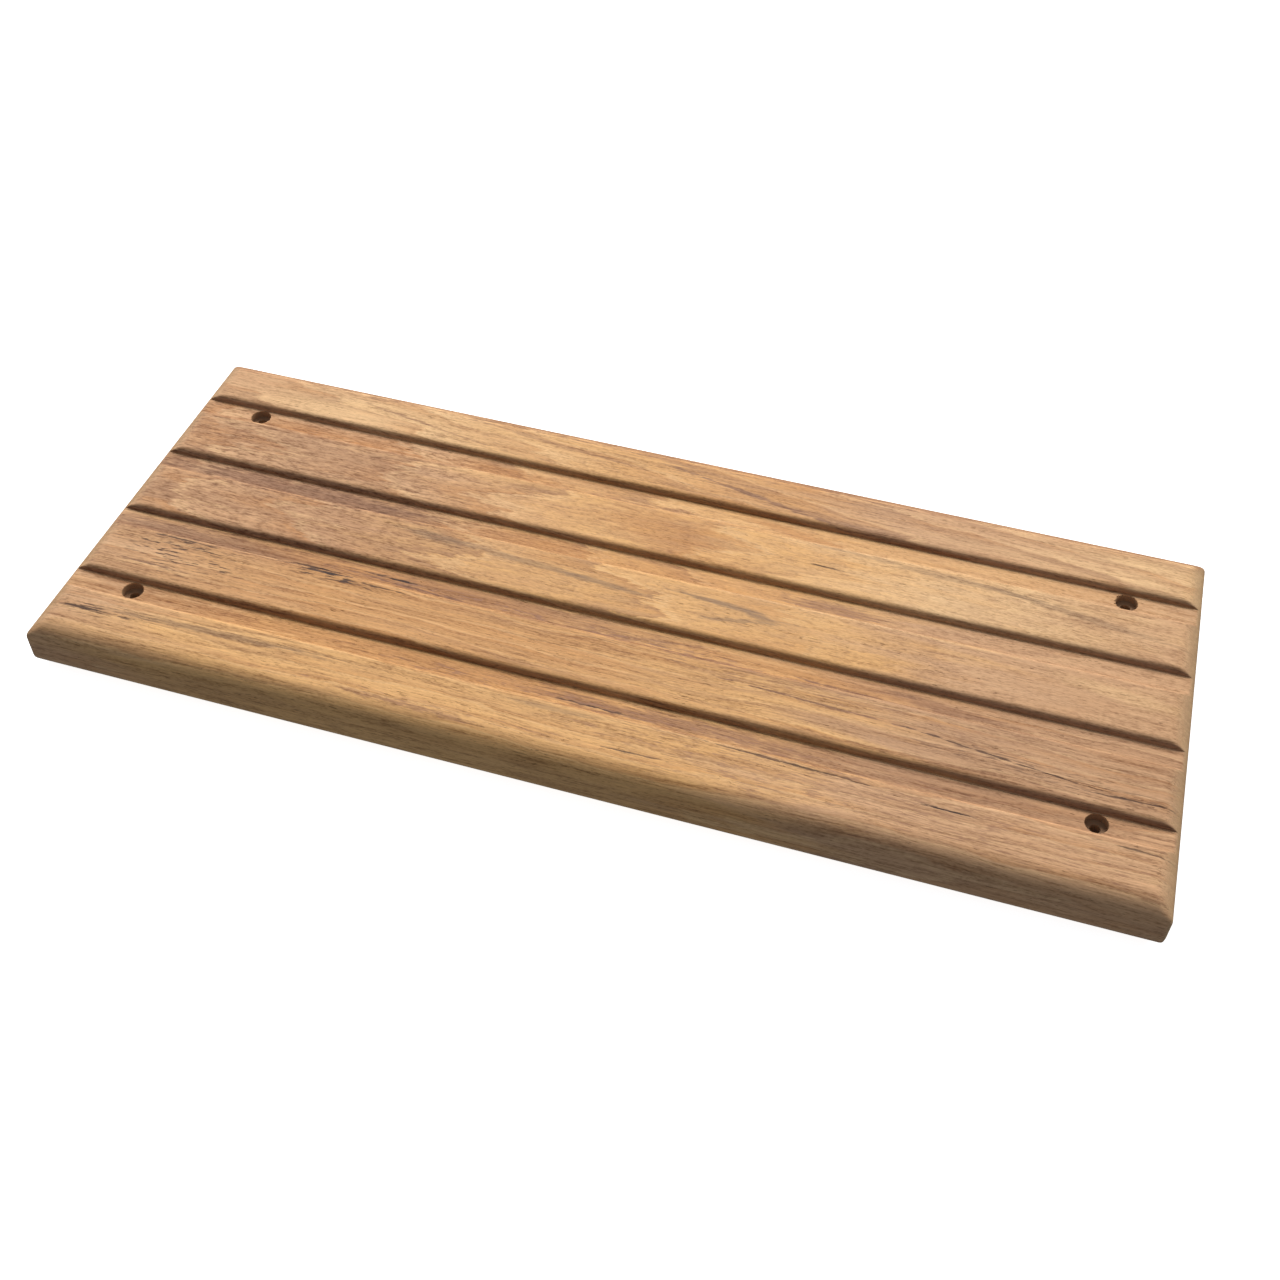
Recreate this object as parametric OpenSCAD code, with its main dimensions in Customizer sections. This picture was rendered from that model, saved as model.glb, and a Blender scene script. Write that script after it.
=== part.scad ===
// Grooved teak board: five staves glued edge to edge.
//
// Millimetres. X runs along the board, Y across it from front (-) to rear (+), Z up.
// The board is centred on the Z axis and its underside lies on Z = 0.
// Four flat-bottomed grooves part the top into five ribs. Every glue seam is just in front
// of a groove's rear wall, where the shadow of the wall hides it, so each stave is one rib
// with the groove floor that lies behind it. The rear stave has only its rib.

/* [Board] */
// Length along X
length = 484; // [300:1:700]
// Width along Y
width = 197.8; // [120:0.1:300]
// Thickness
thickness = 22.2; // [16:0.1:32]

/* [Edges] */
// How far the round of the four top edges reaches in over the top face
edge_reach = 10; // [4:0.5:14]
// Radius of that round where it leaves the top face
crown_radius = 12; // [11:0.5:20]
// Radius of the round lower down, where it meets the side
side_radius = 5; // [2:0.1:8]
// Radius of the round along the four bottom edges
bottom_radius = 6.3; // [1:0.1:9]

/* [Grooves] */
// Number of grooves along the board
groove_count = 4; // [1:1:6]
// Centre-to-centre distance of the grooves
groove_pitch = 41.8; // [30:0.1:60]
// How far the set of grooves sits to the rear of the board's middle
groove_shift = 0.5; // [-5:0.1:5]
// Width of a groove's flat floor
floor_width = 10.4; // [6:0.1:14]
// Depth of a groove
groove_depth = 2.7; // [1:0.1:4]
// Radius of the rib edges on both sides of a groove
rib_radius = 3.3; // [2.5:0.1:6]
// Distance of the glue seam from the foot of the groove's rear wall
seam_step = 0.3; // [0.1:0.1:2]

/* [Screw holes] */
// Spacing of the holes along X
hole_spacing_x = 419; // [250:1:650]
// Spacing of the holes along Y: they sit on the middles of the outer grooves
hole_spacing_y = 125.4; // [60:0.1:250]
// Diameter of the through hole
hole_d = 4.2; // [3:0.1:6]
// Diameter of the counterbore
counterbore_d = 9.5; // [7:0.1:12]
// Depth of the counterbore below the groove floor
counterbore_depth = 3.5; // [2:0.1:10]

/* [Hidden] */
$fn = 96;
// Cutters reach this far past the faces that they cut
over = 1;

// The top round is two arcs. The crown arc touches the top face, the side arc touches the
// side, and the side arc's circle touches the crown arc's circle from inside. These are the
// distances between their centres, across and up.
arc_run = edge_reach - side_radius;
arc_rise = sqrt(pow(crown_radius - side_radius, 2) - arc_run * arc_run);
// Angle above the horizontal at which the two arcs meet
arc_angle = atan2(arc_rise, arc_run);

// Where the rib round starts on the rib's top, measured from the groove's centre
floor_z = thickness - groove_depth;
rib_reach = sqrt(rib_radius * rib_radius - pow(rib_radius - groove_depth, 2));
groove_half = floor_width / 2 + rib_reach;

// Groove centres from the rear to the front
groove_ys = [for (i = [0:groove_count - 1])
    ((groove_count - 1) / 2 - i) * groove_pitch + groove_shift];
// Stave borders from the rear edge to the front edge, with one seam in each groove
seam_ys = [for (y = groove_ys) y + floor_width / 2 - seam_step];
stave_ys = concat([width / 2], seam_ys, [-width / 2]);

// A fan with its tip at the origin, between two angles less than 180 degrees apart
module fan(from, to, reach) {
    polygon([[0, 0], for (a = [from, (from + to) / 2, to]) reach * [cos(a), sin(a)]]);
}

// What is cut off the top corner at x = half: outside the crown arc from the vertical
// down to arc_angle, and outside the side arc from there down to the horizontal
module top_corner_waste(half) {
    translate([half - edge_reach, thickness - crown_radius]) {
        difference() {
            fan(arc_angle, 90, 2 * crown_radius);
            circle(r = crown_radius);
        }
        translate([arc_run, arc_rise])
            difference() {
                fan(0, arc_angle, 2 * crown_radius);
                circle(r = side_radius);
            }
    }
}

// What is cut off the bottom corner at x = half
module bottom_corner_waste(half) {
    translate([half - bottom_radius, bottom_radius])
        difference() {
            translate([0, -bottom_radius - over])
                square([bottom_radius + over, bottom_radius + over]);
            circle(r = bottom_radius);
        }
}

// Section of the rounded board, half wide on each side of the origin, from 0 to thickness
module board_section(half) {
    difference() {
        translate([-half, 0]) square([2 * half, thickness]);
        for (side = [0, 1]) mirror([side, 0]) {
            top_corner_waste(half);
            bottom_corner_waste(half);
        }
    }
}

// Section of one groove, centred on the origin: a flat floor, and rounded edges that
// curve up from it on to the ribs
module groove_section() {
    translate([-floor_width / 2, floor_z]) square([floor_width, groove_depth + over]);
    for (side = [0, 1]) mirror([side, 0])
        difference() {
            translate([floor_width / 2 - 0.01, floor_z])
                square([rib_reach + 0.01, groove_depth + over]);
            translate([groove_half, thickness - rib_radius]) circle(r = rib_radius);
        }
}

// The long section of the staves between two borders, with the grooves cut out
module stave_section(y_front, y_rear) {
    intersection() {
        difference() {
            board_section(width / 2);
            for (y = groove_ys) translate([y, 0]) groove_section();
        }
        translate([y_front, 0]) square([y_rear - y_front, thickness]);
    }
}

// The four counterbored screw holes
module screw_holes() {
    for (x = [-1, 1], y = [-1, 1])
        translate([x * hole_spacing_x / 2, groove_shift + y * hole_spacing_y / 2, 0]) {
            translate([0, 0, -over]) cylinder(d = hole_d, h = thickness + 2 * over);
            translate([0, 0, floor_z - counterbore_depth])
                cylinder(d = counterbore_d, h = thickness);
        }
}

// Stave number i, counted from the rear: its long section run along the board, shaped at
// both ends by the same rounded section, and drilled
module stave(i, tone) {
    color(tone)
    difference() {
        intersection() {
            rotate([90, 0, 90])
                translate([0, 0, -length / 2])
                linear_extrude(length) stave_section(stave_ys[i + 1], stave_ys[i]);
            rotate([90, 0, 0])
                translate([0, 0, -width])
                linear_extrude(2 * width) board_section(length / 2);
        }
        screw_holes();
    }
}

module rear_stave() stave(0, [0.74, 0.56, 0.37]);
module rear_inner_stave() stave(1, [0.70, 0.50, 0.31]);
module centre_stave() stave(2, [0.72, 0.51, 0.30]);
module front_inner_stave() stave(3, [0.68, 0.47, 0.28]);
module front_stave() stave(4, [0.70, 0.49, 0.29]);

rear_stave();
rear_inner_stave();
centre_stave();
front_inner_stave();
front_stave();
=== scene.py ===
"""Looks for the grooved teak board: five glued staves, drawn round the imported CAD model."""
import math
from collections import namedtuple

import bpy
import numpy as np
from mathutils import Matrix, Vector, noise


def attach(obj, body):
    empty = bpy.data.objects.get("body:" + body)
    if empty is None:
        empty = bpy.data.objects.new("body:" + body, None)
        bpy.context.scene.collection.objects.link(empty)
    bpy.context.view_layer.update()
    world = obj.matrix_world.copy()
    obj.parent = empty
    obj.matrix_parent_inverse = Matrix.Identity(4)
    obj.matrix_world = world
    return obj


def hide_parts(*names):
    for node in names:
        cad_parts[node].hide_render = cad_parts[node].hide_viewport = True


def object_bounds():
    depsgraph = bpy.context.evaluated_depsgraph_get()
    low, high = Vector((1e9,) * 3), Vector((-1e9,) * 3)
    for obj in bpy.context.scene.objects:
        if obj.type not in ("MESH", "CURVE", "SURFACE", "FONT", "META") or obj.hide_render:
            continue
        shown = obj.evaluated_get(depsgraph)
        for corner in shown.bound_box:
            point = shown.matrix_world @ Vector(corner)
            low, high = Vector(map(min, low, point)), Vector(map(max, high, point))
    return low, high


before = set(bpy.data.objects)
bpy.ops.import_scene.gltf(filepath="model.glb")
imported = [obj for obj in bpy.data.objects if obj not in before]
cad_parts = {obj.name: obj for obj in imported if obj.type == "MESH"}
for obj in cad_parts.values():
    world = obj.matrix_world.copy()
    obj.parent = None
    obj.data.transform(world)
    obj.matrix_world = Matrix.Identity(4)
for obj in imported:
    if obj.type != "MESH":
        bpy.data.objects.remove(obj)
CAD_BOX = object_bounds()

MM = 0.001

# ---------------------------------------------------------------- sizes, in millimetres

LOW, HIGH = (np.array(corner) / MM for corner in CAD_BOX)
LENGTH, WIDTH, THICK = HIGH - LOW

EDGE_REACH = 10.0        # how far the top round reaches in over the top face
CROWN_RADIUS = 12.0      # the round where it leaves the top face
SIDE_RADIUS = 5.0        # the round lower down
BOTTOM_RADIUS = 6.3
CORNER_RADIUS = 2.4      # sanding of the upright corners
HIP_SANDING = 0.9        # sanding where a groove wall runs into the end round
CORNER_SANDING = 2.6     # sanding of the hips where two top rounds meet
UNDER_SANDING = 0.8      # the same for the bottom rounds

GROOVE_PITCH = 41.8
GROOVE_SHIFT = 0.5
FLOOR_WIDTH = 10.4
GROOVE_DEPTH = 2.7
RIB_RADIUS = 3.3
SEAM_STEP = 0.3          # seam to foot of the groove's rear wall
FLOOR_Z = THICK - GROOVE_DEPTH
RIB_REACH = math.sqrt(RIB_RADIUS ** 2 - (RIB_RADIUS - GROOVE_DEPTH) ** 2)
GROOVES = [(1.5 - i) * GROOVE_PITCH + GROOVE_SHIFT for i in range(4)]

HOLE_X, HOLE_Y = 419 / 2, 1.5 * GROOVE_PITCH
HOLE_RADIUS, COUNTERBORE_RADIUS, COUNTERBORE_DEPTH = 2.1, 4.75, 3.5
TEAR_DEPTH = 1.0         # how far down a counterbore's mouth is torn
HOLE_SEGMENTS = 96

WALL_WANDER = 0.16       # scale of a groove wall's drift off its line
WANDER_REACH = 3.5       # how far from the wall the drift fades out
LONG_STRIP, CROSS_STRIP = 2.0, 2.5      # spacing of the mesh's strips
EVEN_REACH = 230         # strips along the board are evenly spaced out to here
BAND_ROWS = 4            # faces from the top down to the underside
CREASE_ANGLE = math.radians(38)         # sharper edges than this are shaded sharp

# The top round is a crown arc, then a side arc whose circle touches the first from inside
ARC_RUN = EDGE_REACH - SIDE_RADIUS
ARC_RISE = math.sqrt((CROWN_RADIUS - SIDE_RADIUS) ** 2 - ARC_RUN ** 2)
ARC_ANGLE = math.atan2(ARC_RISE, ARC_RUN)
ARCS_MEET = EDGE_REACH - CROWN_RADIUS * math.cos(ARC_ANGLE)

STAVES = ["rear_stave", "rear_inner_stave", "centre_stave", "front_inner_stave",
          "front_stave"]


# ---------------------------------------------------------------- the shape of the board

def edge_top(inset):
    """Height of the top at a distance in from the board's edge."""
    if inset >= EDGE_REACH:
        return THICK
    if inset >= ARCS_MEET:
        run = EDGE_REACH - inset
        return THICK - CROWN_RADIUS + math.sqrt(CROWN_RADIUS ** 2 - run ** 2)
    run = SIDE_RADIUS - max(inset, 0)
    return THICK - CROWN_RADIUS + ARC_RISE + math.sqrt(SIDE_RADIUS ** 2 - run ** 2)


def edge_bottom(inset):
    """Height of the underside at a distance in from the board's edge."""
    if inset >= BOTTOM_RADIUS:
        return 0.0
    return BOTTOM_RADIUS - math.sqrt(BOTTOM_RADIUS ** 2 - (BOTTOM_RADIUS - inset) ** 2)


def groove_top(y):
    """Height of the top across the grooves."""
    distance = min(abs(y - groove) for groove in GROOVES)
    past_foot = distance - FLOOR_WIDTH / 2
    if past_foot <= 0:
        return FLOOR_Z
    if past_foot >= RIB_REACH:
        return THICK
    run = RIB_REACH - past_foot
    return THICK - RIB_RADIUS + math.sqrt(RIB_RADIUS ** 2 - run ** 2)


def sanded(a, b, room_a, room_b, most):
    """How much a crease between two heights is rubbed down, none where one is flat."""
    soft = min(most, 2 * room_a, 2 * room_b)
    if soft <= 0 or abs(a - b) >= soft:
        return 0.0
    return (soft - abs(a - b)) ** 2 / soft / 4


def thinned(values, gap=0.04):
    """Sorted values with near doubles left out."""
    kept = []
    for value in sorted(values):
        if not kept or value - kept[-1] > gap:
            kept.append(value)
    return kept


def edge_insets():
    """Where the rounds are cut into strips, from the edge inwards."""
    side = [SIDE_RADIUS * (1 - math.cos(ARC_ANGLE * i / 9)) for i in range(10)]
    crown = [EDGE_REACH - CROWN_RADIUS * math.cos(a)
             for a in np.linspace(ARC_ANGLE, math.pi / 2, 11)]
    under = [BOTTOM_RADIUS * (1 - math.cos(math.pi / 2 * i / 8)) for i in range(9)]
    corner = [CORNER_RADIUS * (1 - math.cos(math.pi / 2 * i / 5)) for i in range(6)]
    return thinned(side + crown + under + corner + [EDGE_REACH + 0.4])


def wall_offsets():
    """Where a groove's rounded wall is cut into strips, from the groove's centre."""
    steep = math.acos(1 - GROOVE_DEPTH / RIB_RADIUS)    # slope at the wall's foot
    return [FLOOR_WIDTH / 2 + RIB_REACH - RIB_RADIUS * math.sin(steep * i / 9)
            for i in range(10)]


def stave_range(index):
    """The front and rear limits of a stave, counted from the rear."""
    seams = [groove + FLOOR_WIDTH / 2 - SEAM_STEP for groove in GROOVES]
    borders = [WIDTH / 2] + seams + [-WIDTH / 2]
    return borders[index + 1], borders[index]


def cross_stations(index):
    """Y positions of one stave's strips, from front to rear."""
    front, rear = stave_range(index)
    first = math.ceil(front / CROSS_STRIP) * CROSS_STRIP
    marks = [front, rear] + list(np.arange(first, rear, CROSS_STRIP))
    for groove in GROOVES:
        for side in (-1, 1):
            marks += [groove + side * offset for offset in wall_offsets()]
            marks.append(groove + side * (FLOOR_WIDTH / 2 + RIB_REACH + 0.3))
    marks += [side * (WIDTH / 2 - inset) for inset in edge_insets() for side in (-1, 1)]
    inside = [y for y in marks if front + 0.1 < y < rear - 0.1]
    return [front] + thinned(inside, 0.06) + [rear]


def long_stations():
    """X positions of the strips, from left to right."""
    ends = [LENGTH / 2 - inset for inset in edge_insets()]
    middle = list(np.arange(-EVEN_REACH, EVEN_REACH + 0.1, LONG_STRIP))
    return thinned([-x for x in ends] + middle + ends, 0.06)


def ripple(x, seed, size):
    """A slow wander along the board, the same on every run."""
    return noise.noise(Vector((x / size, seed * 7.31, 0.5)))


def wander(x, y):
    """How far a groove's wall leaves its true line at x, fading out away from it."""
    shift = 0.0
    for number, groove in enumerate(GROOVES):
        for side in (-1, 1):
            wall = groove + side * (FLOOR_WIDTH / 2 + RIB_REACH / 2)
            near = max(0.0, 1 - abs(y - wall) / WANDER_REACH)
            drift = ripple(x, 2 * number + side, 24) + 0.5 * ripple(x, 9 + number, 6)
            shift += WALL_WANDER * near * near * drift
    return shift


def round_corner(x, y):
    """Pulls the board's upright corners in to a small radius."""
    u = 1 - (LENGTH / 2 - abs(x)) / CORNER_RADIUS
    v = 1 - (WIDTH / 2 - abs(y)) / CORNER_RADIUS
    if u <= 0 or v <= 0:
        return x, y
    u, v = u * math.sqrt(1 - v * v / 2), v * math.sqrt(1 - u * u / 2)
    return (math.copysign(LENGTH / 2 - (1 - u) * CORNER_RADIUS, x),
            math.copysign(WIDTH / 2 - (1 - v) * CORNER_RADIUS, y))


def heights(x, y):
    """Top and underside of the board at one place, with the creases rubbed down."""
    side_inset, end_inset = WIDTH / 2 - abs(y), LENGTH / 2 - abs(x)
    across, ends = min(groove_top(y), edge_top(side_inset)), edge_top(end_inset)
    most = CORNER_SANDING if side_inset < EDGE_REACH else HIP_SANDING
    high = min(across, ends) - sanded(across, ends, THICK - across, THICK - ends, most)
    side_low, end_low = edge_bottom(side_inset), edge_bottom(end_inset)
    low = max(side_low, end_low) + sanded(side_low, end_low, side_low, end_low, UNDER_SANDING)
    return high, low


def outline(last_i, last_j):
    """The grid's outer points in order, once round."""
    ring = [(i, 0) for i in range(last_i)] + [(last_i, j) for j in range(last_j)]
    return (ring + [(i, last_j) for i in range(last_i, 0, -1)]
            + [(0, j) for j in range(last_j, 0, -1)])


def stave_mesh(name, index):
    """One stave as a closed mesh: a top and an underside, joined by a band all round."""
    xs, ys = long_stations(), cross_stations(index)
    seams = stave_range(index)
    points, faces = [], []

    def add(x, y, z):
        points.append((x * MM, y * MM, z * MM))
        return len(points) - 1

    top, under = {}, {}
    for i, x in enumerate(xs):
        for j, y in enumerate(ys):
            high, low = heights(x, y)
            px, py = round_corner(x, y)
            top[i, j] = add(px, py + (0 if y in seams else wander(x, y)), high)
            under[i, j] = add(px, py, low)

    last_i, last_j = len(xs) - 1, len(ys) - 1
    for i in range(last_i):
        for j in range(last_j):
            faces.append([top[i, j], top[i + 1, j], top[i + 1, j + 1], top[i, j + 1]])
            faces.append([under[i, j], under[i, j + 1], under[i + 1, j + 1], under[i + 1, j]])

    columns = []
    for key in outline(last_i, last_j):
        upper, lower = np.array(points[top[key]]), np.array(points[under[key]])
        column = [top[key]]
        for row in range(1, BAND_ROWS):
            points.append(tuple(upper + (lower - upper) * row / BAND_ROWS))
            column.append(len(points) - 1)
        columns.append(column + [under[key]])
    for a, b in zip(columns, columns[1:] + columns[:1]):
        for row in range(BAND_ROWS):
            faces.append([a[row], a[row + 1], b[row + 1], b[row]])

    mesh = bpy.data.meshes.new(name)
    mesh.from_pydata(points, [], faces)
    mesh.validate()
    mesh.update()
    return mesh


# ---------------------------------------------------------------- the screw holes

# (x side, y side, how torn the rim is, direction of the worst tear in degrees)
HOLES = [(-1, 1, 0.35, 20), (1, 1, 2.4, 175), (-1, -1, 0.30, 200), (1, -1, 0.45, 165)]


def torn_ring(hole, z, radius):
    """One ring of a hole cutter: a little off round, and torn near the mouth."""
    x_side, y_side, torn, worst = hole
    centre = Vector((x_side * HOLE_X, y_side * HOLE_Y + GROOVE_SHIFT, 0))
    mouth = min(max((z - (FLOOR_Z - TEAR_DEPTH)) / TEAR_DEPTH, 0.0), 1.0)
    ring = []
    for k in range(HOLE_SEGMENTS):
        angle = 2 * math.pi * k / HOLE_SEGMENTS
        rough = 0.05 * noise.noise(Vector((math.cos(angle) * 3, math.sin(angle) * 3, z)))
        facing = max(0.0, math.cos(angle - math.radians(worst)))
        spikes = abs(noise.noise(Vector((angle * 5.5, x_side * 3.7, y_side * 2.3))))
        tear = torn * mouth * mouth * spikes * (0.25 + 1.1 * facing ** 2)
        r = radius + (rough + tear if radius > HOLE_RADIUS + 1 else rough * 0.5)
        ring.append((centre + Vector((r * math.cos(angle), r * math.sin(angle), z))) * MM)
    return ring


def hole_cutter(hole):
    """A counterbored drill shape, from below the board to above it."""
    seat = FLOOR_Z - COUNTERBORE_DEPTH
    rows = [(-1.0, HOLE_RADIUS), (seat - 0.25, HOLE_RADIUS), (seat, HOLE_RADIUS + 0.2)]
    rows += [(seat, COUNTERBORE_RADIUS)]
    rows += [(z, COUNTERBORE_RADIUS) for z in np.linspace(seat + 0.5, FLOOR_Z - 1.0, 6)]
    rows += [(z, COUNTERBORE_RADIUS) for z in np.linspace(FLOOR_Z - 0.7, THICK + 1.5, 9)]
    points, faces = [], []
    for z, radius in rows:
        points += torn_ring(hole, z, radius)
    for row in range(len(rows) - 1):
        for k in range(HOLE_SEGMENTS):
            a, b = row * HOLE_SEGMENTS + k, row * HOLE_SEGMENTS + (k + 1) % HOLE_SEGMENTS
            faces.append([a, b, b + HOLE_SEGMENTS, a + HOLE_SEGMENTS])
    faces.append(list(range(HOLE_SEGMENTS))[::-1])
    faces.append([(len(rows) - 1) * HOLE_SEGMENTS + k for k in range(HOLE_SEGMENTS)])
    mesh = bpy.data.meshes.new("hole_cutter")
    mesh.from_pydata(points, [], faces)
    mesh.update()
    cutter = bpy.data.objects.new("hole_cutter", mesh)
    bpy.context.scene.collection.objects.link(cutter)
    return cutter


def drill(piece, index):
    """Cuts the screw holes that reach into this stave."""
    front, rear = stave_range(index)
    cutters = [hole_cutter(hole) for hole in HOLES
               if front < hole[1] * HOLE_Y + GROOVE_SHIFT < rear]
    for cutter in cutters:
        cut = piece.modifiers.new("hole", "BOOLEAN")
        cut.operation, cut.solver, cut.object = "DIFFERENCE", "EXACT", cutter
    if cutters:
        bpy.context.view_layer.update()
        solid = piece.evaluated_get(bpy.context.evaluated_depsgraph_get())
        drilled = bpy.data.meshes.new_from_object(solid)
        piece.modifiers.clear()
        piece.data = drilled
    for cutter in cutters:
        bpy.data.objects.remove(cutter)


# ---------------------------------------------------------------- node helpers

class Graph:
    """A new material, with short names for the nodes it is made of."""

    def __init__(self, name):
        self.material = bpy.data.materials.new(name)
        self.material.use_nodes = True
        self.tree = self.material.node_tree
        self.tree.nodes.clear()

    def node(self, kind, **settings):
        """A node with some of its settings changed."""
        made = self.tree.nodes.new(kind)
        for key, value in settings.items():
            setattr(made, key, value)
        return made

    def plug(self, socket, value):
        """Links a socket to another one, or sets it to a constant."""
        if isinstance(value, bpy.types.NodeSocket):
            self.tree.links.new(value, socket)
        else:
            socket.default_value = value

    def math(self, operation, a, b=0.0, c=0.0, clamp=False):
        made = self.node("ShaderNodeMath", operation=operation, use_clamp=clamp)
        for socket, value in zip(made.inputs, (a, b, c)):
            self.plug(socket, value)
        return made.outputs[0]

    def add(self, *terms):
        total = terms[0]
        for term in terms[1:]:
            total = self.math("ADD", total, term)
        return total

    def mul(self, *terms):
        total = terms[0]
        for term in terms[1:]:
            total = self.math("MULTIPLY", total, term)
        return total

    def combine(self, x, y, z):
        made = self.node("ShaderNodeCombineXYZ")
        for socket, value in zip(made.inputs, (x, y, z)):
            self.plug(socket, value)
        return made.outputs[0]

    def noise(self, vector, detail, roughness):
        """Noise from about 0 to 1, one cell to the unit."""
        made = self.node("ShaderNodeTexNoise", noise_dimensions="3D")
        self.plug(made.inputs["Vector"], vector)
        made.inputs["Scale"].default_value = 1.0
        made.inputs["Detail"].default_value = detail
        made.inputs["Roughness"].default_value = roughness
        return made.outputs["Fac"]

    def spread(self, value, low, high, to_low=0.0, to_high=1.0):
        """A smooth step from to_low to to_high while value goes from low to high."""
        made = self.node("ShaderNodeMapRange", interpolation_type="SMOOTHSTEP")
        for socket, number in zip(made.inputs, (value, low, high, to_low, to_high)):
            self.plug(socket, number)
        return made.outputs[0]

    def ramp(self, value, stops):
        """Colours along a value; stops are (position, colour)."""
        made = self.node("ShaderNodeValToRGB")
        self.plug(made.inputs[0], value)
        band = made.color_ramp
        while len(band.elements) < len(stops):
            band.elements.new(0.5)
        for element, (position, colour) in zip(band.elements, stops):
            element.position = position
            element.color = (*colour, 1)
        return made.outputs[0]

    def mix(self, factor, a, b, blend="MIX"):
        made = self.node("ShaderNodeMix", data_type="RGBA", blend_type=blend)
        self.plug(made.inputs[0], factor)
        for socket, value in ((made.inputs[6], a), (made.inputs[7], b)):
            self.plug(socket, (*value, 1) if isinstance(value, tuple) else value)
        return made.outputs[2]


def srgb(red, green, blue):
    """A colour as seen on a screen, from 0 to 255, in linear light."""
    return tuple((c / 255 / 12.92) if c < 10.3 else ((c / 255 + 0.055) / 1.055) ** 2.4
                 for c in (red, green, blue))


# ---------------------------------------------------------------- teak

PALE = srgb(232, 190, 140)
GOLD = srgb(226, 175, 115)
TAN = srgb(210, 165, 124)
HONEY = srgb(212, 159, 104)
ORANGE = srgb(192, 132, 78)
ROSE = srgb(198, 154, 116)
UMBER = srgb(197, 151, 112)
BROWN = srgb(164, 120, 88)
MAUVE = srgb(146, 106, 82)
GREY = srgb(146, 116, 90)
INK = srgb(74, 52, 42)
END_PALE = srgb(180, 148, 108)
END_DARK = srgb(158, 127, 92)
# burnished wood of a hole's walls, darkened further as painted shade of the hole
HOLE_WOOD_AND_SHADE = srgb(136, 108, 84)
BURNISH_AND_SHADE = (0.61, 0.55, 0.56)            # what a groove wall's colour is multiplied by: the cutter's burnish and painted shade of the groove
PORE_SHADE = (0.30, 0.24, 0.20)         # the same for a pore
FIBRE_SHADES = [(0.0, (0.34, 0.27, 0.22)), (0.25, (0.56, 0.51, 0.47)),
                (0.5, (0.78, 0.775, 0.77)), (0.78, (0.90, 0.91, 0.92)), (1.0, (1, 1, 1))]
WOOD_GAIN = 1.27                        # makes up for what the fibre shades take away

Mark = namedtuple("Mark", "x y half_length half_width slope strength colour")
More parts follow.
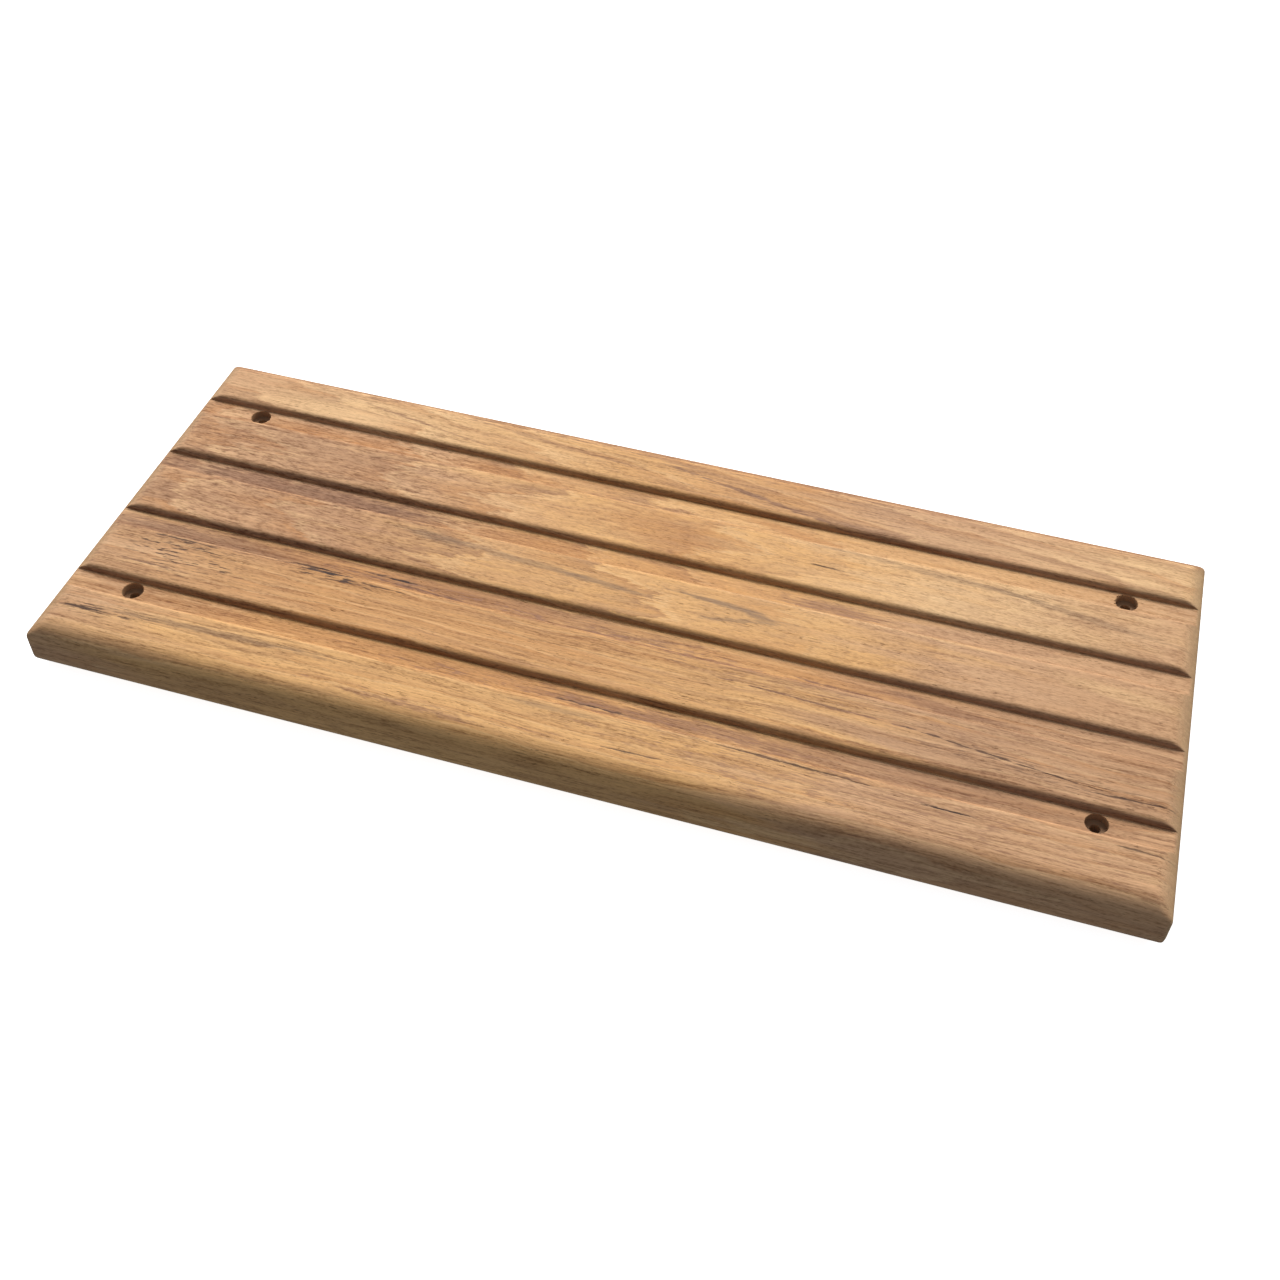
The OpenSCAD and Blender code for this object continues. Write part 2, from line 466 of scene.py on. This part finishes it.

# What makes each stave its own. tones are colours from the left end to the right end.
# Growth rings: along and across are millimetres for one ring, lean is how far a ring moves
# along the board for each millimetre of depth, wave is how feathered it is and contrast how
# dark. The rings fade to the right of flames_to. flecks and straight are how much of the
# fine figure is short flecks, fading to the right of flecks_to, or long fibres.
# marks are soft streaks, two of them painted shade (along the rear edge and on the first
# groove's floor), and clusters are fields of dark dashes, each given as a Mark.
WOOD = {
    "rear_stave": dict(
        tones=[(0.0, TAN), (0.18, PALE), (0.42, GOLD), (0.58, HONEY), (0.75, TAN),
               (1.0, PALE)],
        along=78, across=15.5, lean=12, wave=0.35, contrast=0.70, flecks=0.35, straight=0.6,
        flecks_to=-60, flames_to=900, seed=3.0, clusters=[
            (160, 82, 90, 8, -0.05, 0.30, BROWN)], marks=[
            (-172, 76, 22, 4.5, -0.10, 0.55, PALE),
            (-145, 83, 18, 0.7, -0.18, 0.60, BROWN),
            (-112, 77, 20, 0.6, -0.17, 0.55, BROWN),
            (-70, 86, 40, 1.0, -0.11, 0.45, BROWN),
            (38, 78, 48, 1.1, -0.20, 0.75, MAUVE),
            (-8, 90, 26, 1.6, -0.14, 0.50, BROWN),
            (75, 73, 30, 2.0, -0.10, 0.45, MAUVE),
            (150, 88, 70, 1.4, -0.13, 0.35, BROWN),
            (195, 74, 40, 1.8, -0.12, 0.35, BROWN),
            # painted shade: a brown band along the whole rear edge, darkening the round that
            # the key light from behind lights
            (0, 97.2, 600, 5.0, 0.0, 0.90, BROWN)]),
    "rear_inner_stave": dict(
        tones=[(0.0, TAN), (0.2, TAN), (0.45, GOLD), (0.62, GOLD), (0.8, PALE), (1.0, TAN)],
        along=74, across=-260, lean=20, wave=0.65, contrast=0.95, flecks=0.95, straight=0.25,
        flecks_to=-85, flames_to=45, seed=11.0, clusters=[
            (-150, 44, 90, 13, 0.0, 0.35, BROWN),
            (-10, 58, 60, 2.5, 0.0, 0.55, BROWN)], marks=[
            (-170, 60, 45, 5, -0.02, 0.50, ORANGE),
            (-78, 61, 26, 4, -0.02, 0.55, ORANGE),
            (60, 62, 26, 2.6, -0.16, 0.60, ORANGE),
            (4, 41, 28, 11, -0.2, 0.45, ORANGE),
            (-170, 44, 60, 12, -0.05, 0.35, BROWN),
            (-20, 58.5, 26, 1.2, -0.01, 0.50, BROWN),
            (130, 52, 55, 1.7, -0.06, 0.40, GREY),
            (190, 46, 45, 1.8, -0.14, 0.40, GREY),
            (120, 56.5, 60, 0.8, -0.02, 0.50, PALE),
            (77, 42.4, 8, 0.35, -0.03, 0.90, INK),
            (150, 36, 60, 2.4, -0.12, 0.40, PALE),
            # painted shade: a darker honey tone over the first groove's floor, right of the
            # middle
            (140, 63.5, 75, 5, 0.0, 0.60, HONEY)]),
    "centre_stave": dict(
        tones=[(0.0, TAN), (0.2, UMBER), (0.42, GOLD), (0.68, GOLD), (0.8, TAN), (1.0, TAN)],
        along=70, across=330, lean=20, wave=0.65, contrast=0.90, flecks=1.0, straight=0.25,
        flecks_to=-90, flames_to=70, seed=23.0, clusters=[
            (-150, 2, 90, 13, 0.0, 0.45, BROWN),
            (90, 20, 30, 4, 0.0, 0.60, MAUVE)], marks=[
            (-170, 20, 75, 6, 0.0, 0.75, MAUVE),
            (-60, 20, 28, 5, 0.0, 0.50, ORANGE),
            (10, 20, 60, 5, 0.0, 0.40, ORANGE),
            (88, 20, 20, 3.4, -0.03, 0.75, BROWN),
            (-94, 7.5, 16, 2.6, -0.08, 0.65, GREY),
            (-50, 5, 42, 1.6, -0.07, 0.55, GREY),
            (-15, 2.5, 20, 1.6, -0.08, 0.55, GREY),
            (40, 6, 24, 1.3, -0.10, 0.75, GREY),
            (58, 3, 8, 2.6, -0.30, 0.55, GREY),
            (48, -2, 16, 1.0, 0.18, 0.55, GREY),
            (214, 5, 24, 4.0, -0.10, 0.55, PALE),
            (110, 13.6, 60, 0.7, -0.01, 0.55, PALE),
            (195, -4, 40, 7, 0.0, 0.25, ROSE)]),
    "front_inner_stave": dict(
        tones=[(0.0, TAN), (0.2, HONEY), (0.45, HONEY), (0.65, GOLD), (0.8, ROSE),
               (1.0, ROSE)],
        along=520, across=6.4, lean=4, wave=0.40, contrast=0.65, flecks=0.4, straight=1.0,
        flecks_to=-120, flames_to=900, seed=37.0, clusters=[
            (-198, -38, 24, 10, 0.0, 0.95, INK),
            (-130, -28.5, 24, 4, -0.03, 1.0, INK),
            (-60, -23.5, 70, 4, -0.03, 0.75, MAUVE),
            (20, -25, 70, 4, -0.02, 0.70, MAUVE),
            (130, -34, 90, 9, -0.03, 0.35, MAUVE),
            (190, -46, 50, 5, -0.05, 0.45, INK)], marks=[
            (-190, -23, 70, 5, 0.0, 0.70, MAUVE),
            (-90, -21, 70, 4, 0.0, 0.60, ORANGE),
            (-50, -20.5, 75, 5, 0.0, 0.50, BROWN),
            (100, -20.5, 60, 5, 0.0, 0.40, ORANGE),
            (-104, -20.8, 12, 0.6, -0.02, 1.0, INK),
            (-84, -24, 36, 0.55, -0.045, 0.95, MAUVE),
            (-20, -25, 40, 0.5, 0.03, 0.75, BROWN),
            (14, -22, 24, 0.5, 0.12, 0.6, BROWN),
            (-208, -47, 16, 0.6, -0.03, 0.7, MAUVE),
            (-130, -28.6, 10, 1.0, -0.04, 1.0, INK),
            (-138, -25, 10, 0.6, -0.02, 0.9, INK),
            (-101, -30.2, 9, 0.5, 0.0, 0.85, INK),
            (-200, -29, 12, 0.5, -0.02, 0.8, INK),
            (28, -26.5, 34, 1.2, -0.04, 0.75, MAUVE),
            (75, -29, 34, 1.3, 0.01, 0.50, BROWN),
            (95, -37.6, 42, 0.45, -0.04, 0.85, MAUVE),
            (168, -43.2, 34, 0.42, -0.115, 0.80, INK),
            (108, -25, 28, 0.5, -0.04, 0.9, MAUVE),
            (145, -22, 26, 2.6, -0.03, 0.55, MAUVE),
            (220, -49.3, 16, 0.5, 0.02, 0.8, INK),
            (90, -54.5, 34, 1.6, 0.0, 0.45, BROWN)]),
    "front_stave": dict(
        tones=[(0.0, TAN), (0.18, GOLD), (0.4, GOLD), (0.6, GOLD), (0.75, TAN), (1.0, TAN)],
        along=640, across=-7.2, lean=4, wave=0.40, contrast=0.60, flecks=0.4, straight=1.0,
        flecks_to=-60, flames_to=900, seed=53.0, clusters=[
            (-215, -79, 22, 3, 0.0, 0.80, INK),
            (20, -65, 110, 4, 0.0, 0.75, MAUVE),
            (-70, -88, 60, 3, 0.0, 0.60, BROWN),
            (130, -80, 110, 13, 0.0, 0.60, MAUVE)], marks=[
            (-200, -63, 45, 4, 0.0, 0.45, BROWN),
            (-60, -62.5, 150, 5.5, 0.0, 0.60, ORANGE),
            (30, -63.5, 60, 3, 0.0, 0.65, BROWN),
            (8, -65, 16, 0.6, -0.02, 1.0, INK),
            (150, -62.5, 120, 5.5, 0.0, 0.60, BROWN),
            (-165, -76.5, 55, 1.7, 0.02, 0.60, GREY),
            (-222, -80, 9, 0.7, 0.0, 0.9, INK),
            (-66, -89, 24, 1.1, -0.01, 0.65, BROWN),
            (-12, -73, 22, 1.5, 0.02, 0.45, GREY),
            (85, -71.5, 26, 0.5, -0.03, 0.8, INK),
            (152, -75.4, 9, 0.5, -0.04, 1.0, INK),
            (28, -85.5, 10, 0.5, 0.02, 0.85, INK),
            (225, -72.6, 14, 0.4, -0.05, 0.7, INK)]),
}


class Teak(Graph):
    """The wood of one stave, drawn in the solid so that ends and edges match the top."""

    def __init__(self, name, wood):
        super().__init__(name)
        self.wood = wood
        split = self.node("ShaderNodeSeparateXYZ")
        self.plug(split.inputs[0], self.node("ShaderNodeTexCoord").outputs["Object"])
        self.x, self.y, self.z = (self.mul(axis, 1 / MM) for axis in split.outputs)

        # Slow bends of the grain, shared by everything below
        self.bend = self.add(self.mul(self.drawn_out(130, 34, self.y, self.z), 7.0),
                             self.mul(self.drawn_out(32, 9, self.y, self.z, 1.7), 1.6))
        self.bent_y = self.add(self.y, self.bend)
        self.bent_z = self.math("MULTIPLY_ADD", self.bend, 0.6, self.z)
        self.level = self.math("MULTIPLY_ADD", self.bend, 0.15, self.y)

        # Fibres of several widths, and the short flecks between them
        self.coarse = self.fibre(46, 2.1, 0.0, detail=3.0, roughness=0.6)
        self.fine = self.fibre(17, 0.7, 3.1, detail=3.0, roughness=0.65)
        self.fleck = self.fibre(5.5, 1.3, 5.3, detail=2.0, roughness=0.6)
        self.speck = self.fibre(2.2, 0.55, 7.9, detail=1.0)

        self.grow_rings()
        self.find_pores()
        colour = self.fine_tone(self.broad_colour())
        self.coat(self.worked_faces_and_shade(self.darken_pores(self.dashes(colour))))

    def drawn_out(self, length, width, across, up, shift=0.0, detail=2.0, roughness=0.55):
        """Noise stretched along the board, from about -0.5 to 0.5."""
        spot = self.combine(
            self.mul(self.x, 1 / length),
            self.math("MULTIPLY_ADD", across, 1 / width, self.wood["seed"] + shift),
            self.mul(up, 1 / width))
        return self.math("SUBTRACT", self.noise(spot, detail, roughness), 0.5)

    def fibre(self, length, width, shift, detail=2.0, roughness=0.55):
        """The same noise, following the bends of the grain."""
        return self.drawn_out(length, width, self.bent_y, self.bent_z, shift, detail,
                              roughness)

    def grow_rings(self):
        """Growth rings: pale just past a ring, then darker up to the next one's step."""
        wood = self.wood
        feather = self.fibre(15, 2.4, 2.3, detail=3.0, roughness=0.65)
        broad = self.drawn_out(95, 17, self.y, self.z, 4.1)
        depth = self.mul(self.math("SUBTRACT", self.z, THICK), wood["lean"] / wood["along"])
        ring = self.add(self.mul(self.x, 1 / wood["along"]),
                        self.mul(self.bent_y, 1 / wood["across"]), depth,
                        self.mul(feather, wood["wave"]), self.mul(broad, 2.2),
                        wood["seed"] + 20)
        saw = self.math("FRACT", ring)
        flamed = self.spread(self.x, wood["flames_to"] - 35, wood["flames_to"] + 35,
                             1.0, 0.30)
        self.late = self.mul(self.math("POWER", saw, 2.4), self.spread(saw, 1.0, 0.93),
                             flamed)
        self.late_small = self.math("POWER", self.math("FRACT", self.mul(ring, 3.7)), 3.0)
        self.new_wood = self.mul(self.spread(saw, 0.20, 0.04, 0.0, 0.45 * wood["contrast"]),
                                 self.spread(saw, 0.0, 0.04), flamed)
        lottery = self.node("ShaderNodeTexWhiteNoise", noise_dimensions="1D")
        self.plug(lottery.inputs["W"], self.math("FLOOR", ring))
        self.ring_tone = self.math("SUBTRACT", lottery.outputs["Value"], 0.5)

    def find_pores(self):
        """Short dashes, crowded in some places and rare in others."""
        short = self.fibre(4.2, 0.5, 9.3, detail=1.0)
        crowd = self.fibre(40, 5, 8.7)
        limit = self.spread(crowd, -0.15, 0.20, 0.27, 0.15)
        self.pore = self.spread(self.math("SUBTRACT", short, limit), 0.0, 0.05)

    def streak(self, mark, grain):
        """How strongly one soft streak shows: a long ellipse broken up along the grain."""
        dx = self.math("SUBTRACT", self.x, mark.x)
        line = self.math("MULTIPLY_ADD", dx, mark.slope, mark.y)
        u = self.mul(dx, 1 / mark.half_length)
        v = self.mul(self.math("SUBTRACT", self.level, line), 1 / mark.half_width)
        far = self.math("SQRT", self.add(self.mul(u, u), self.mul(v, v)))
        thin = mark.half_width < 1.2
        rim = self.add(far, self.mul(grain, 3.0 if thin else 2.2),
                       self.mul(self.fleck, 3.2 if thin else 1.2))
        return self.spread(rim, 1.5, 0.45, 0.0, mark.strength)

    def broad_colour(self):
        """Tones along the board, then the rings and the listed streaks."""
        contrast = self.wood["contrast"]
        along = self.math("MULTIPLY_ADD", self.x, 1 / LENGTH, 0.5)
        blotch = self.fibre(70, 8, 6.7)
        colour = self.ramp(self.math("MULTIPLY_ADD", blotch, 0.35, along),
                           self.wood["tones"])
        dark_tone = self.mix(self.spread(blotch, -0.12, 0.12), ORANGE, BROWN)
        colour = self.mix(self.mul(self.late, contrast * 0.80), colour, dark_tone)
        colour = self.mix(self.mul(self.late_small, contrast * 0.35), colour, BROWN)
        colour = self.mix(self.new_wood, colour, PALE)
        grain = self.math("MULTIPLY_ADD", self.fine, 0.5, self.mul(self.coarse, 0.5))
        for mark in map(Mark._make, self.wood["marks"]):
            colour = self.mix(self.streak(mark, grain), colour, mark.colour)
        return colour

    def fine_tone(self, colour):
        """Fibres, flecks and rings darken or lighten what is below them."""
        wood = self.wood
        flecked = self.spread(self.x, wood["flecks_to"] + 45, wood["flecks_to"] - 45,
                              0.30, 1.0)
        tone = self.add(self.mul(self.coarse, 0.45 + 0.75 * wood["straight"]),
                        self.mul(self.fine, 0.65 + 0.55 * wood["straight"]),
                        self.mul(self.fleck, flecked, 1.5 * wood["flecks"]),
                        self.mul(self.speck, 0.75), self.mul(self.ring_tone, 0.16))
        shade = self.ramp(self.math("ADD", tone, 0.5, clamp=True), FIBRE_SHADES)
        return self.mix(1.0, colour, shade, "MULTIPLY")

    def dashes(self, colour):
        """Clusters of dark dashes, where mineral has settled in the pores."""
        dash = self.spread(self.fibre(7.5, 0.8, 11.9, detail=1.0), 0.05, 0.13)
        for cluster in map(Mark._make, self.wood["clusters"]):
            where = self.streak(cluster, self.coarse)
            colour = self.mix(self.mul(where, dash), colour, cluster.colour)
        return colour

    def darken_pores(self, colour):
        """The pores show as a darker shade of the wood around them."""
        shaded = self.mix(1.0, colour, PORE_SHADE, "MULTIPLY")
        return self.mix(self.mul(self.pore, 0.60), colour, shaded)

    def worked_faces_and_shade(self, colour):
        """The cutter burnishes the groove walls and the holes, both also darkened as painted
        shade, and end grain is duller.
        """
        facing = self.node("ShaderNodeSeparateXYZ")
        self.plug(facing.inputs[0],
                  self.node("ShaderNodeNewGeometry").outputs["True Normal"])
        steep = self.spread(self.math("ABSOLUTE", facing.outputs[1]), 0.35, 0.8)
        in_groove = self.mul(self.spread(self.z, FLOOR_Z - 0.3, FLOOR_Z),
                             self.spread(self.math("ABSOLUTE", self.y), 86, 84))
        # painted shade: the steep groove walls are multiplied darker, partly the cutter's
        # burnish
        colour = self.mix(self.mul(steep, in_groove, 0.9), colour,
                          self.mix(1.0, colour, BURNISH_AND_SHADE, "MULTIPLY"))
        end = self.spread(self.math("ABSOLUTE", facing.outputs[0]), 0.15, 0.75)
        end_tone = self.mix(self.spread(self.coarse, -0.15, 0.15), END_PALE, END_DARK)
        colour = self.mix(self.mul(end, 0.70), colour, end_tone)
        # painted shade: the inside of each counterbore is mixed towards a dark brown, partly
        # the drill's burnish
        dx = self.math("SUBTRACT", self.math("ABSOLUTE", self.x), HOLE_X)
        centred = self.math("SUBTRACT", self.y, GROOVE_SHIFT)
        dy = self.math("SUBTRACT", self.math("ABSOLUTE", centred), HOLE_Y)
        far = self.math("SQRT", self.add(self.mul(dx, dx), self.mul(dy, dy)))
        inside = self.mul(
            self.spread(far, COUNTERBORE_RADIUS + 0.9, COUNTERBORE_RADIUS + 0.1),
            self.spread(self.z, FLOOR_Z - 0.1, FLOOR_Z - 0.8))
        return self.mix(self.mul(inside, 0.8), colour, HOLE_WOOD_AND_SHADE)

    def coat(self, colour):
        """A satin skin, drier in the pores, over the relief of fibres and pores."""
        brighter = self.node("ShaderNodeVectorMath", operation="SCALE")
        self.plug(brighter.inputs[0], colour)
        brighter.inputs["Scale"].default_value = WOOD_GAIN

        height = self.add(self.mul(self.fine, 0.6), self.mul(self.coarse, 0.35),
                          self.mul(self.fleck, 0.3), self.mul(self.speck, 0.3),
                          self.mul(self.late, 0.15), self.mul(self.pore, -0.8))
        bump = self.node("ShaderNodeBump")
        bump.inputs["Strength"].default_value = 0.7
        bump.inputs["Distance"].default_value = 0.00018
        self.plug(bump.inputs["Height"], height)

        dryness = self.math("MULTIPLY_ADD", self.pore, 0.3, self.fine)
        skin = self.node("ShaderNodeBsdfPrincipled")
        self.plug(skin.inputs["Base Color"], brighter.outputs[0])
        self.plug(skin.inputs["Roughness"], self.spread(dryness, -0.2, 0.4, 0.55, 0.80))
        skin.inputs["Specular IOR Level"].default_value = 0.20
        self.plug(skin.inputs["Normal"], bump.outputs[0])
        self.plug(self.node("ShaderNodeOutputMaterial").inputs["Surface"], skin.outputs[0])


# ---------------------------------------------------------------- the five staves

def build_stave(index, node):
    """Makes one stave, drilled and in its own wood, in place of its CAD node."""
    slot = "teak_" + node.replace("_stave", "")
    name = node + "_wood"
    piece = bpy.data.objects.new(name, stave_mesh(name, index))
    bpy.context.scene.collection.objects.link(piece)
    drill(piece, index)
    piece.data.materials.clear()
    piece.data.materials.append(Teak(slot, WOOD[node]).material)
    piece.data.shade_smooth()
    piece.data.set_sharp_from_angle(angle=CREASE_ANGLE)
    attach(piece, "root")
    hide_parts(node)


for number, stave in enumerate(STAVES):
    build_stave(number, stave)


# ---------------------------------------------------------------- studio

FLOOR_HALF = 6.0         # metres


def camera():
    """The photograph's view: a lens in millimetres, three axes, and a place in millimetres."""
    data = bpy.data.cameras.new("camera")
    data.sensor_width = 36
    data.lens = 44.573
    data.clip_start, data.clip_end = 0.01, 20
    right = Vector((0.955895, 0.293528, 0.010334))
    up = Vector((-0.222095, 0.699348, 0.679402))
    back = Vector((0.192196, -0.651732, 0.733694))
    turn = Matrix((right, up, back)).transposed().to_4x4()
    made = bpy.data.objects.new("camera", data)
    made.matrix_world = Matrix.Translation(Vector((142.282, -465.961, 518.182)) * MM) @ turn
    bpy.context.scene.collection.objects.link(made)
    bpy.context.scene.camera = made


def softbox(name, place, size, power, colour):
    """A round soft light that points at the middle of the board."""
    data = bpy.data.lights.new(name, "AREA")
    data.shape, data.size, data.energy, data.color = "DISK", size, power, colour
    lamp = bpy.data.objects.new(name, data)
    aim = (-Vector(place)).to_track_quat("-Z", "Y")
    lamp.matrix_world = Matrix.Translation(place) @ aim.to_matrix().to_4x4()
    bpy.context.scene.collection.objects.link(lamp)


def white_floor():
    """A plain floor just below the board, bright by itself so that it stays white."""
    half = FLOOR_HALF
    mesh = bpy.data.meshes.new("studio_floor")
    mesh.from_pydata([(-half, -half, 0), (half, -half, 0), (half, half, 0), (-half, half, 0)],
                     [], [[0, 1, 2, 3]])
    floor = bpy.data.objects.new("studio_floor", mesh)
    floor.location.z = -0.0002
    bpy.context.scene.collection.objects.link(floor)
    g = Graph("studio_white")
    paint = g.node("ShaderNodeBsdfDiffuse")
    paint.inputs["Color"].default_value = (0.85, 0.85, 0.85, 1)
    glow = g.node("ShaderNodeEmission")
    glow.inputs["Strength"].default_value = 0.86
    both = g.node("ShaderNodeAddShader")
    g.plug(both.inputs[0], paint.outputs[0])
    g.plug(both.inputs[1], glow.outputs[0])
    g.plug(g.node("ShaderNodeOutputMaterial").inputs["Surface"], both.outputs[0])
    mesh.materials.append(g.material)
    floor.visible_diffuse = False
    floor.visible_glossy = False


def white_air():
    """Air that is white to look at, and lights the wood with a weak cool fill."""
    world = bpy.data.worlds.new("studio_air")
    world.use_nodes = True
    tree = world.node_tree
    fill = tree.nodes["Background"]
    fill.inputs["Color"].default_value = (0.80, 0.89, 1.0, 1)
    fill.inputs["Strength"].default_value = 0.262
    white = tree.nodes.new("ShaderNodeBackground")
    seen = tree.nodes.new("ShaderNodeLightPath")
    choice = tree.nodes.new("ShaderNodeMixShader")
    tree.links.new(seen.outputs["Is Camera Ray"], choice.inputs[0])
    tree.links.new(fill.outputs[0], choice.inputs[1])
    tree.links.new(white.outputs[0], choice.inputs[2])
    tree.links.new(choice.outputs[0], tree.nodes["World Output"].inputs["Surface"])
    bpy.context.scene.world = world


def studio():
    """A white floor and air, a soft key light behind, and one weaker light to each side."""
    white_floor()
    white_air()
    softbox("key", (-0.40, 2.45, 2.05), 1.5, 87, (1.0, 0.97, 0.92))
    softbox("left", (-2.5, 1.7, 1.3), 1.2, 38, (1.0, 0.98, 0.94))
    softbox("right", (2.4, 1.7, 1.3), 1.2, 34, (1.0, 0.98, 0.94))
    bpy.context.scene.view_settings.view_transform = "Standard"


camera()
studio()
